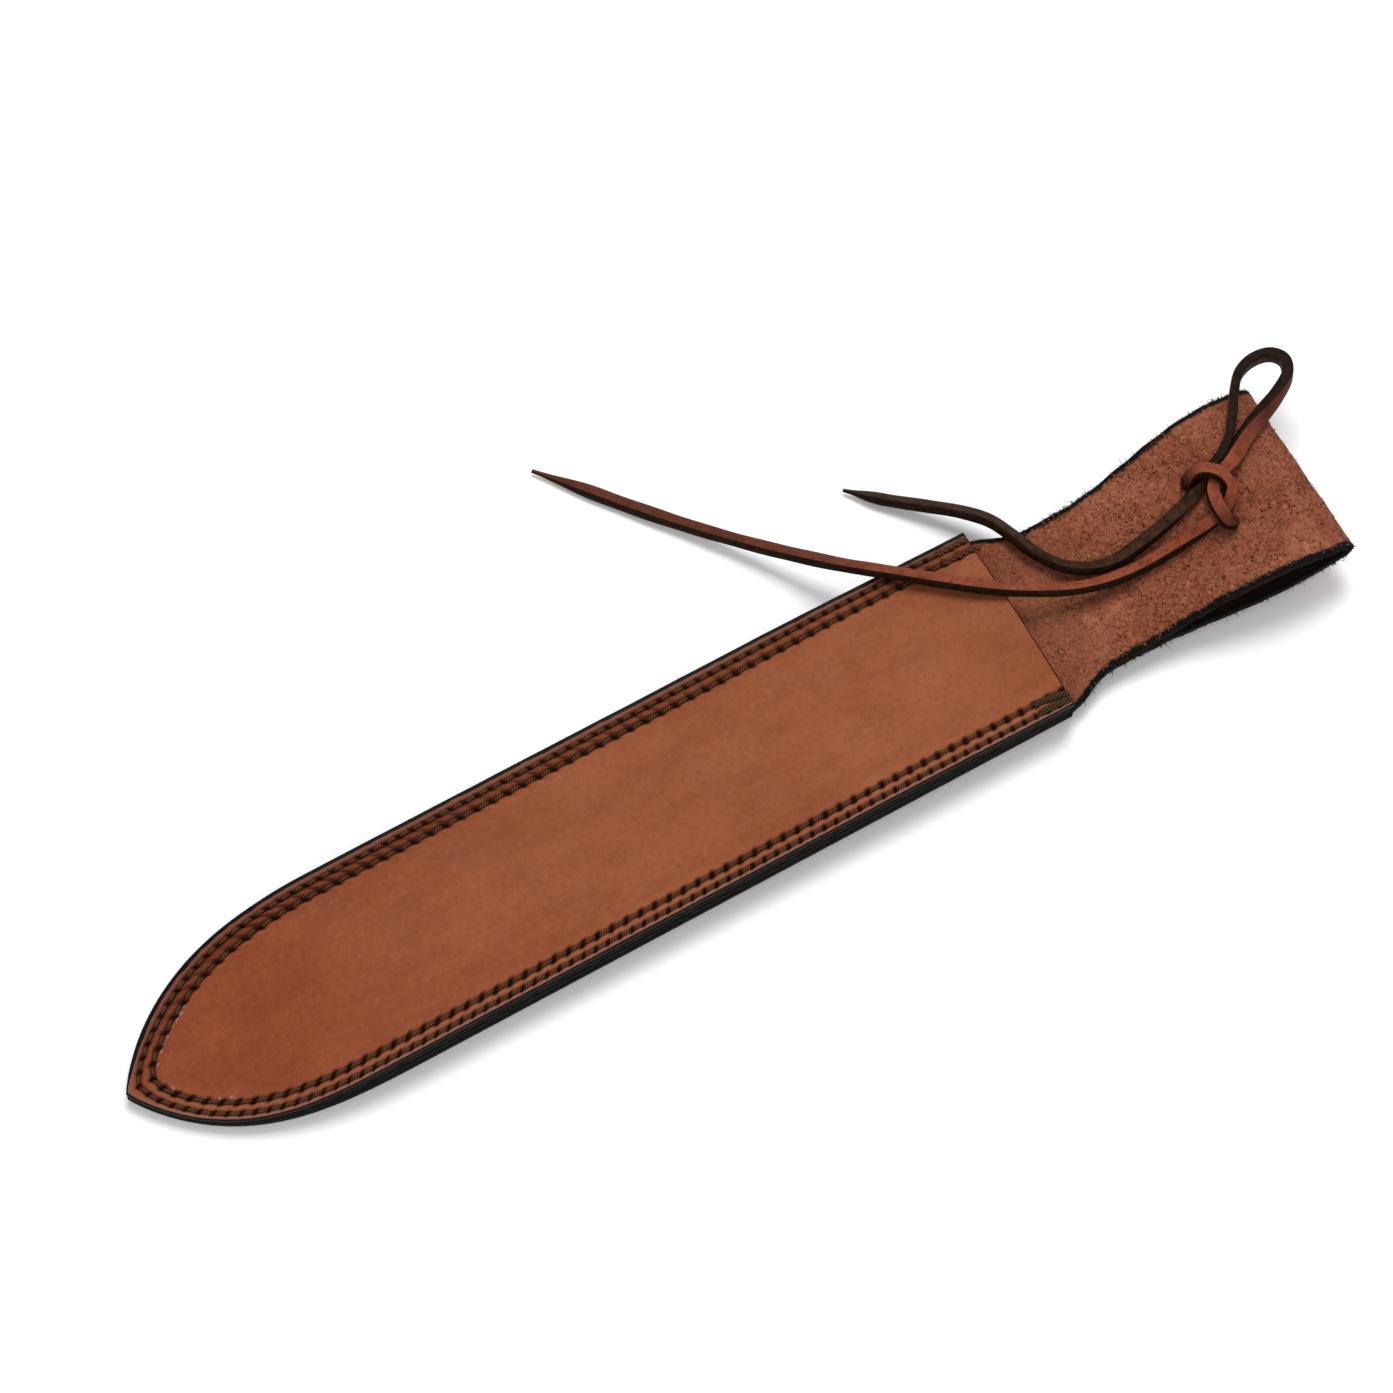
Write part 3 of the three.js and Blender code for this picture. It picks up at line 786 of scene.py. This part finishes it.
def lace_section():
    """A flat lace's section with eased corners, and for each of its points 0 on the grain face, 0.5 on a
    cut edge and 1 on the flesh face."""
    w, t, ease = LACE_WIDTH / 2, LACE_THICKNESS / 2, 0.45
    quarter = [(w - ease, t, 0.0), (w - 0.13, t - 0.13, 0.25), (w, t - ease, 0.5)]
    top = [(-w + ease, t, 0.0), (-w / 3, t + 0.04, 0.0), (w / 3, t + 0.04, 0.0)]
    right = quarter + [(w + 0.03, 0, 0.5), (w, -t + ease, 0.5), (w - 0.13, -t + 0.13, 0.75)]
    under = [(w - ease, -t, 1.0), (w / 3, -t, 1.0), (-w / 3, -t, 1.0), (-w + ease, -t, 1.0)]
    left = [(-w + 0.13, -t + 0.13, 0.75), (-w, -t + ease, 0.5), (-w - 0.03, 0, 0.5), (-w, t - ease, 0.5),
            (-w + 0.13, t - 0.13, 0.25)]
    return np.array((top + right + under + left)[::-1])


def loop_width(run):
    """The lace's width along its loop: wider on the way out, and a little wider on the way back."""
    return 1 + 0.24 * smooth(run, 36, 48) * (1 - 0.7 * smooth(run, 92, 112)) * (1 - smooth(run, 120, 140))


def make_lace(node, route, turns, tip_run, fade, width, material):
    """The lace along its route, turning about its own line; its far end is skived to a point over tip_run
    millimetres, its grain face darkens over the stretch `fade` and width(run) scales its section. Its first
    15 to 26 millimetres, where it comes out of its hole, are darkened as painted shade."""
    path = spaced(smooth_path((np.array(route) / MM) - (0, TIP_Y, 0), 14), 0.6)
    run = line_length(path)
    roll = np.radians(np.interp(run, *zip(*turns)))
    roll = np.convolve(np.pad(roll, 6, mode="edge"), np.ones(13) / 13, mode="valid")
    section = lace_section()
    scale = 1 - 0.72 * smooth(run, run[-1] - tip_run, run[-1]) ** 1.4
    scale = scale * (1 + 0.03 * np.sin(run / 9) + 0.02 * np.sin(run / 3.1)) * width(run)
    points, faces = swept(path, section[:, :2], scale, roll)
    points[:, 2] = np.maximum(points[:, 2], 0.05)
    marks = {"face": np.tile(section[:, 2], len(path)),
             "far": np.repeat(smooth(run, *fade), len(section)),
             # Painted shade: the lace darkens over its first 15 to 26 mm, where it comes out of its hole
             "dark": np.repeat(1 - smooth(run, 15, 26), len(section))}
    piece = add_piece(node + "_lace", points, faces, material, "lace_leather", [node], marks)
    return piece


def fibre(root, way, bend, length, thin):
    """A bent hair with three sides."""
    line = np.array([root, root + way * length * 0.5, root + (way + bend) * length])
    return swept(line, circle(3) * thin, [1, 0.8, 0.3], up=np.eye(3)[np.argmin(np.abs(way))])


def make_edge_fibres(material):
    """Loose fibres that stand out of the strap's cut edges."""
    path, tangent, returning = strap_rows()
    shapes = []
    for _ in range(EDGE_FIBRES):
        i = int(RNG.integers(8, len(path) - 1))
        side = RNG.choice([-1, 1])
        if path[i, 0] < BODY_LENGTH + 4 and returning[i]:
            continue
        half = float(strap_half_width(path[i, 0], returning[i]))
        normal = np.array([0, -tangent[i, 1], tangent[i, 0]])
        root = np.array([side * (half - 0.4), *path[i]]) + normal * RNG.uniform(-0.6, 1.42)
        along = np.array([0, *tangent[i]])
        way = np.array([side, 0, 0]) + along * RNG.normal(0, 0.8) + normal * RNG.normal(0.15, 0.45)
        way /= np.linalg.norm(way)
        length = min(0.4 + RNG.gamma(1.2, 0.3), 2.6)
        shapes.append(fibre(root, way, RNG.normal(0, 0.35, 3), length, 0.12 * RNG.uniform(0.6, 1.5)))
    points, faces = join(shapes)
    points[:, 2] = np.maximum(points[:, 2], 0.02)
    return add_piece("strap_edge_fibres", points, faces, material, "suede_leather")


def make_nap(material):
    """Short fibres that lie about on the strap's flesh side, some pale and some dark."""
    path, tangent, returning = strap_rows()
    out = np.flatnonzero(~returning | (path[:, 1] > 15))
    shapes, tones = [], []
    for _ in range(NAP_FIBRES):
        i = int(RNG.choice(out[4:]))
        half = float(strap_half_width(path[i, 0], returning[i])) - 0.6
        normal = np.array([0, -tangent[i, 1], tangent[i, 0]])
        along = np.array([0, *tangent[i]])
        root = np.array([RNG.uniform(-half, half), *path[i]]) + normal * (LEATHER / 2 - 0.12)
        heading = RNG.uniform(0, 2 * math.pi)
        way = np.array([math.cos(heading), 0, 0]) + along * math.sin(heading) + normal * RNG.uniform(0.1, 0.5)
        bend, length, thin = RNG.normal(0, 0.3, 3), RNG.uniform(0.4, 1.3), 0.08 * RNG.uniform(0.7, 1.5)
        shapes.append(fibre(root, way, bend, length, thin))
        tones.append(np.full(len(shapes[-1][0]), RNG.uniform()))
    marks = {"tone": np.concatenate(tones)}
    return add_piece("strap_nap", *join(shapes), material, "suede_leather", (), marks)


# ---- materials ----

class Shader:
    """A Principled material and short ways to add the nodes it is made of."""

    def __init__(self, name, roughness, specular=0.5, sheen=0.0):
        self.material = bpy.data.materials.new(name)
        self.material.use_nodes = True
        self.tree = self.material.node_tree
        self.surface = self.tree.nodes["Principled BSDF"]
        self.surface.inputs["Roughness"].default_value = roughness
        self.surface.inputs["Specular IOR Level"].default_value = specular
        self.surface.inputs["Sheen Weight"].default_value = sheen
        self.place = self.node("ShaderNodeTexCoord").outputs["Object"]

    def feed(self, socket, value):
        """Links a socket to another node's output, or sets it to a number, a vector or a colour."""
        if isinstance(value, bpy.types.NodeSocket):
            self.tree.links.new(value, socket)
        elif socket.type == "RGBA":
            socket.default_value = (*value, 1)
        else:
            socket.default_value = value

    def node(self, kind, inputs=None, **settings):
        """A new node with these settings, fed by input name or number."""
        made = self.tree.nodes.new(kind)
        for key, value in settings.items():
            setattr(made, key, value)
        for key, value in (inputs or {}).items():
            self.feed(made.inputs[key], value)
        return made

    def mark(self, name):
        """A number that the mesh holds at each of its points."""
        return self.node("ShaderNodeAttribute", attribute_name=name).outputs["Fac"]

    def stretched(self, scale):
        return self.node("ShaderNodeMapping", {"Vector": self.place, "Scale": scale}).outputs["Vector"]

    def noise(self, size, detail=3.0, rough=0.5, place=None, distortion=0.0):
        """Noise whose blobs are about `size` metres across."""
        made = self.node("ShaderNodeTexNoise", {
            "Vector": place or self.place, "Scale": 0.6 / size, "Detail": detail, "Roughness": rough,
            "Distortion": distortion})
        return made.outputs["Fac"]

    def cells(self, size):
        """Distance to the middle of the nearest of some cells, about `size` metres across."""
        inputs = {"Vector": self.place, "Scale": 1 / size}
        return self.node("ShaderNodeTexVoronoi", inputs, feature="F1").outputs["Distance"]

    def ramp(self, value, *stops):
        """A colour or grey ramp; each stop is (place, colour or grey)."""
        made = self.node("ShaderNodeValToRGB", {"Fac": value})
        ramp = made.color_ramp
        while len(ramp.elements) < len(stops):
            ramp.elements.new(0.5)
        for element, (at, colour) in zip(ramp.elements, stops):
            element.position = at
            element.color = (*colour, 1) if hasattr(colour, "__len__") else (colour, colour, colour, 1)
        return made.outputs["Color"]

    def mix(self, share, first, second):
        """The first colour, turned into the second by this share."""
        inputs = {0: share, 6: first, 7: second}
        return self.node("ShaderNodeMix", inputs, data_type="RGBA").outputs[2]

    def math(self, kind, first, second=0.0):
        return self.node("ShaderNodeMath", {0: first, 1: second}, operation=kind).outputs[0]

    def colour(self, value):
        self.feed(self.surface.inputs["Base Color"], value)

    def roughness(self, value):
        self.feed(self.surface.inputs["Roughness"], value)

    def bump(self, *layers):
        """Each layer is (height, strength, depth in millimetres)."""
        normal = None
        for height, strength, depth in layers:
            inputs = {"Height": height, "Strength": strength, "Distance": depth * MM}
            if normal:
                inputs["Normal"] = normal
            normal = self.node("ShaderNodeBump", inputs).outputs["Normal"]
        self.tree.links.new(normal, self.surface.inputs["Normal"])


BLACK_EDGE = (0.004, 0.0032, 0.0025)


def grain_leather():
    """Smooth vegetable-tanned leather: mottled tan, redder and darker to the tip, with painted shade in the
    stitch holes and over the left margin and a painted highlight on the right rim.
    """
    s = Shader("grain_leather", roughness=0.5, specular=0.06)
    blotch = s.noise(0.03, 4, 0.6, distortion=0.4)
    tan = s.ramp(blotch, (0.3, (0.205, 0.056, 0.020)), (0.52, (0.236, 0.067, 0.025)),
                 (0.72, (0.258, 0.078, 0.031)))
    red = s.ramp(s.noise(0.016, 4, 0.6), (0.3, (0.165, 0.034, 0.013)), (0.7, (0.235, 0.056, 0.022)))
    near_tip = s.math("MULTIPLY", s.mark("tip"), s.ramp(blotch, (0.25, 0.35), (0.7, 0.95)))
    base = s.mix(near_tip, tan, red)
    streak = s.noise(0.004, 3, 0.6, s.stretched((1, 0.3, 1)))
    base = s.mix(s.ramp(streak, (0.42, 0.0), (0.8, 0.4)), base, (0.13, 0.026, 0.010))
    grain = s.noise(0.0011, 4, 0.7)
    base = s.mix(s.ramp(grain, (0.5, 0.0), (0.68, 0.34)), base, (0.12, 0.027, 0.011))
    base = s.mix(s.ramp(grain, (0.3, 0.28), (0.44, 0.0)), base, (0.33, 0.105, 0.045))
    base = s.mix(s.math("MULTIPLY", s.mark("right"), 0.6), base, (0.25, 0.085, 0.040))
    # Painted shade over the left margin, deepest in the rope's creases
    base = s.mix(s.math("MULTIPLY", s.mark("painted_margin_shade"), 0.85), base, (0.060, 0.012, 0.006))
    # The rim strip: a pinkish painted highlight along the right's rounded edge, greyish dark brown on the
    # left
    rim_strip = s.math("MULTIPLY", s.mark("rim"), s.ramp(s.noise(0.0028, 3, 0.6), (0.3, 0.45), (0.7, 0.95)))
    strip = s.mix(s.mark("right"), (0.135, 0.064, 0.048), (0.25, 0.105, 0.070))
    base = s.mix(rim_strip, base, strip)
    pale = s.math("MULTIPLY", s.mark("scuff"), s.ramp(s.noise(0.0011, 3, 0.6), (0.54, 0.0), (0.64, 1.0)))
    base = s.mix(pale, base, (0.36, 0.22, 0.17))
    # Painted shade: near black in the stitch holes and along the rows' grooves
    base = s.mix(s.ramp(s.mark("hole"), (0.05, 0.0), (0.5, 0.75), (0.8, 0.97)), base, (0.016, 0.003, 0.001))
    ragged = s.math("ADD", s.mark("edge"), s.ramp(s.noise(0.001, 3, 0.6), (0.3, 0.0), (0.7, 0.25)))
    base = s.mix(s.ramp(ragged, (0.4, 0.0), (0.75, 1.0)), base, BLACK_EDGE)
    s.colour(base)
    s.roughness(s.ramp(s.noise(0.008, 3, 0.6), (0.3, 0.43), (0.7, 0.58)))
    s.bump((s.noise(0.0035, 3, 0.55), 0.3, 0.3), (s.cells(0.0007), 0.3, 0.08), (grain, 0.4, 0.12))
    return s.material


def flesh_leather():
    """The back panel's leather: napped suede on its flesh side, smooth on its grain side, with painted shade
    inside the belt loop, in the holes and along the flap's seam groove.
    """
    s = Shader("flesh_leather", roughness=0.95, specular=0.05, sheen=0.03)
    blotch = s.noise(0.014, 5, 0.65, distortion=0.6)
    suede = s.ramp(blotch, (0.3, (0.19, 0.053, 0.025)), (0.5, (0.27, 0.082, 0.040)),
                   (0.72, (0.35, 0.122, 0.065)))
    nap = s.noise(0.0017, 5, 0.8, distortion=2.0)
    rough = s.math("SUBTRACT", 1.0, s.math("MULTIPLY", s.mark("calm"), 0.55))
    flecks = s.math("MULTIPLY", s.ramp(nap, (0.51, 0.0), (0.63, 0.95)), rough)
    suede = s.mix(flecks, suede, (0.055, 0.011, 0.005))
    suede = s.mix(s.ramp(nap, (0.3, 0.8), (0.44, 0.0)), suede, (0.47, 0.185, 0.11))
    pitted = s.ramp(s.noise(0.009, 3, 0.6), (0.42, 0.15), (0.58, 1.0))
    pits = s.math("MULTIPLY", s.ramp(s.cells(0.0022), (0.03, 1.0), (0.27, 0.0)), pitted)
    suede = s.mix(s.math("MULTIPLY", pits, rough), suede, (0.020, 0.003, 0.002))
    grain = s.ramp(s.noise(0.02, 4, 0.6), (0.3, (0.19, 0.053, 0.022)), (0.7, (0.25, 0.077, 0.035)))
    grain = s.mix(s.ramp(s.noise(0.0009, 4, 0.7), (0.5, 0.0), (0.7, 0.4)), grain, (0.12, 0.028, 0.011))
    # Painted shade: near black on the grain face inside the belt loop
    grain = s.mix(s.math("MULTIPLY", s.mark("inside"), 0.97), grain, (0.006, 0.003, 0.002))
    base = s.mix(s.ramp(s.mark("suede"), (0.4, 0.0), (0.6, 1.0)), grain, suede)
    # Painted shade: near black in the lace holes, the stitch holes and along the flap's seam groove
    base = s.mix(s.ramp(s.mark("hole"), (0.15, 0.0), (0.75, 0.9)), base, (0.015, 0.004, 0.002))
    ragged = s.math("ADD", s.mark("edge"), s.ramp(s.noise(0.0017, 4, 0.7), (0.3, -0.45), (0.7, 0.45)))
    base = s.mix(s.ramp(ragged, (0.42, 0.0), (0.72, 1.0)), base, (0.0045, 0.005, 0.004))
    s.colour(base)
    s.bump((s.noise(0.0030, 3, 0.6), 0.8, 0.7), (nap, 1.0, 0.9), (s.noise(0.0004, 2, 0.6), 0.6, 0.15))
    return s.material


def burnished_edge():
    """The welts' cut edges, dyed black and rubbed, with fine lines along the plies."""
    s = Shader("burnished_edge", roughness=0.5, specular=0.03)
    lines = s.noise(0.0006, 3, 0.6, s.stretched((0.2, 0.2, 2.2)))
    base = s.mix(s.ramp(lines, (0.45, 0.0), (0.7, 1.0)), (0.0022, 0.0015, 0.0010), (0.008, 0.0075, 0.006))
    s.colour(s.mix(s.ramp(s.noise(0.004, 3, 0.6), (0.5, 0.0), (0.75, 0.5)), base, (0.009, 0.005, 0.004)))
    s.roughness(s.ramp(s.noise(0.003, 3, 0.6), (0.3, 0.42), (0.7, 0.62)))
    s.bump((lines, 0.6, 0.12), (s.noise(0.0009, 3, 0.6), 0.4, 0.1))
    return s.material


def twisted_thread(name, dark, light):
    """Waxed thread: its plies wind round it as light and dark turns, a painted highlight on each ply's crest
    and painted shade between plies, and it darkens with painted shade where it dips into its hole.
    """
    s = Shader(name, roughness=0.6, specular=0.08)
    turn = s.math("FRACT", s.math("MULTIPLY", s.mark("ply"), 2.0))
    crest = s.math("SINE", s.math("MULTIPLY", turn, math.pi))
    # Painted highlight on each ply's crest and painted shade between the plies
    twist = s.mix(crest, dark, light)
    # Painted shade where the thread sinks into its hole
    s.colour(s.mix(s.ramp(s.mark("dip"), (0.08, 0.0), (0.4, 0.95)), twist, (0.009, 0.002, 0.001)))
    s.bump((crest, 0.8, 0.15), (s.noise(0.0003, 2, 0.6), 0.4, 0.05))
    return s.material


def lace_leather():
    """Waxed lace: red-brown grain face that is darker along the tails, dark cut edges, dark napped flesh, and
    painted shade near the hole it comes out of.
    """
    s = Shader("lace_leather", roughness=0.6, specular=0.05)
    near = s.ramp(s.noise(0.006, 4, 0.6), (0.3, (0.14, 0.032, 0.015)), (0.7, (0.26, 0.066, 0.030)))
    away = s.ramp(s.noise(0.006, 4, 0.6), (0.3, (0.062, 0.017, 0.009)), (0.7, (0.115, 0.030, 0.016)))
    grain = s.mix(s.mark("far"), near, away)
    grain = s.mix(s.ramp(s.noise(0.0012, 4, 0.7), (0.48, 0.0), (0.66, 0.6)), grain, (0.055, 0.013, 0.007))
    cut = s.ramp(s.noise(0.0012, 4, 0.7), (0.35, (0.006, 0.003, 0.0015)), (0.7, (0.022, 0.009, 0.005)))
    flesh = s.ramp(s.noise(0.0016, 5, 0.75), (0.35, (0.012, 0.006, 0.003)), (0.7, (0.056, 0.024, 0.012)))
    face = s.mark("face")
    base = s.mix(s.ramp(face, (0.2, 0.0), (0.3, 1.0)), grain, cut)
    base = s.mix(s.ramp(face, (0.7, 0.0), (0.8, 1.0)), base, flesh)
    # Painted shade near the hole the lace comes out of
    s.colour(s.mix(s.math("MULTIPLY", s.mark("dark"), 0.8), base, (0.010, 0.004, 0.002)))
    s.bump((s.noise(0.002, 3, 0.6), 0.5, 0.25), (s.noise(0.0005, 4, 0.75), 0.7, 0.14))
    return s.material


def dyed_fibre():
    """Loose fibres of the cut edges, mostly black with dye."""
    s = Shader("dyed_fibre", roughness=0.9, specular=0.04)
    s.colour(s.ramp(s.noise(0.003, 2, 0.5), (0.45, (0.004, 0.004, 0.003)), (0.65, (0.04, 0.012, 0.006))))
    return s.material


def nap_fibre():
    """Fibres of the suede, from dark to pale by their tone."""
    s = Shader("nap_fibre", roughness=0.9, specular=0.04)
    s.colour(s.ramp(s.mark("tone"), (0.0, (0.008, 0.002, 0.001)), (0.36, (0.06, 0.014, 0.007)),
                    (0.6, (0.36, 0.125, 0.068)), (1.0, (0.52, 0.26, 0.17))))
    s.bump((s.noise(0.0004, 2, 0.6), 0.4, 0.04))
    return s.material


# ---- the scene ----

add_camera()
lace = lace_leather()
make_lace("thong_loop_and_short_tail", LOOP_AND_SHORT_TAIL, LOOP_TURNS, 15, (44, 70), loop_width, lace)
make_lace("thong_knot_and_long_tail", KNOT_AND_LONG_TAIL, KNOT_TURNS, 24, (130, 200), np.ones_like, lace)

make_front_panel(grain_leather())
make_back_panel(flesh_leather())
edge = burnished_edge()
for side_name, side in (("left", -1), ("right", 1)):
    for ply in (0, 1):
        make_welt(side_name, side, ply, edge)
seam = twisted_thread("seam_thread", (0.016, 0.005, 0.002), (0.105, 0.041, 0.019))
for thread, underneath in (("needle", False), ("bobbin", True)):
    make_body_thread(f"outer_seam_{thread}_thread", OUTER, seam, underneath)
    make_body_thread(f"inner_seam_{thread}_thread", INNER, seam, underneath)
make_flap_thread("flap_seam_needle_thread", seam, underneath=True)
make_flap_thread("flap_seam_bobbin_thread", seam, underneath=False)
olive = twisted_thread("tack_thread", (0.007, 0.004, 0.002), (0.062, 0.037, 0.016))
make_mouth_tack("mouth_tack_right", 1, RIGHT_TACK, olive)
make_mouth_tack("mouth_tack_left", -1, LEFT_TACK, seam)
make_edge_fibres(dyed_fibre())
make_nap(nap_fibre())
add_studio()
